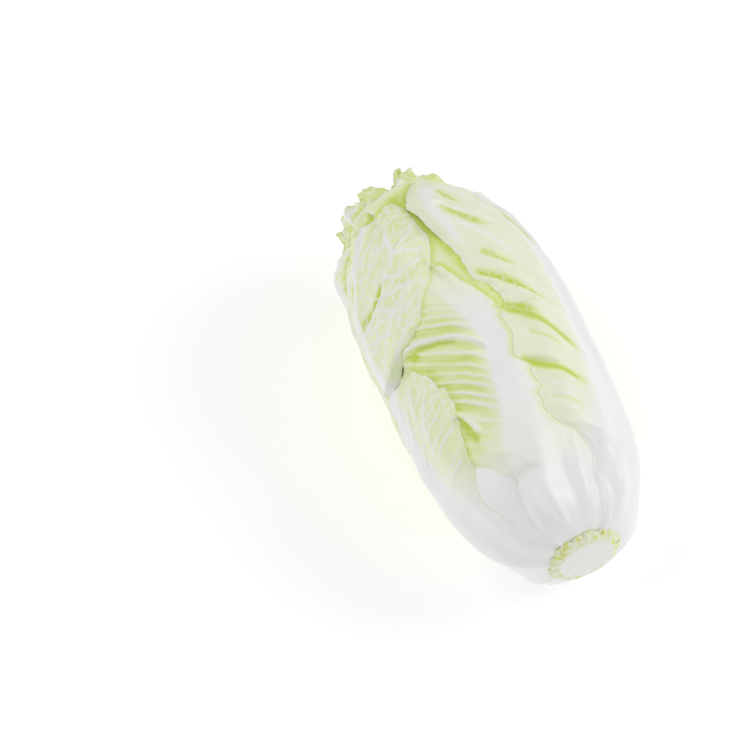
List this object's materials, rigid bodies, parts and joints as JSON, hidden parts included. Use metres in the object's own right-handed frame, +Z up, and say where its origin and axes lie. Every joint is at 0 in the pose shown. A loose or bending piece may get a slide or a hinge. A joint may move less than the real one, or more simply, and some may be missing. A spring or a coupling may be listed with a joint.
{
  "type": "napa cabbage",
  "caption": "Oblong head of napa cabbage lying on its side, with a trimmed stem, thick white ribs and pale ruffled leaves wrapped round a dense heart",
  "frame": {"origin": "centre of the bounding box in X and Y, on the surface that the head lies on", "axes": "+Y runs along the head from the cut stem to the leaf tips, +Z is up, +X is to the right when the head is seen from its stem end"},
  "size_m": [0.1379, 0.3003, 0.1417],
  "materials": {
    "stem": "moist cut stem, off-white with a yellow-green rim",
    "heart": "soft yellow-green leaf",
    "leaf": "satin leaf, white rib and pale green blade"
  },
  "bodies": {
    "root": {"stem": "stem", "heart": "heart", "leaf_inner_back": "leaf", "leaf_inner_left": "leaf", "leaf_inner_right": "leaf", "leaf_back_left": "leaf", "leaf_side_left": "leaf", "leaf_front": "leaf", "leaf_back_right": "leaf", "leaf_wrap_left": "leaf", "leaf_wrap_right": "leaf", "leaf_under": "leaf"}
  },
  "joints": []
}
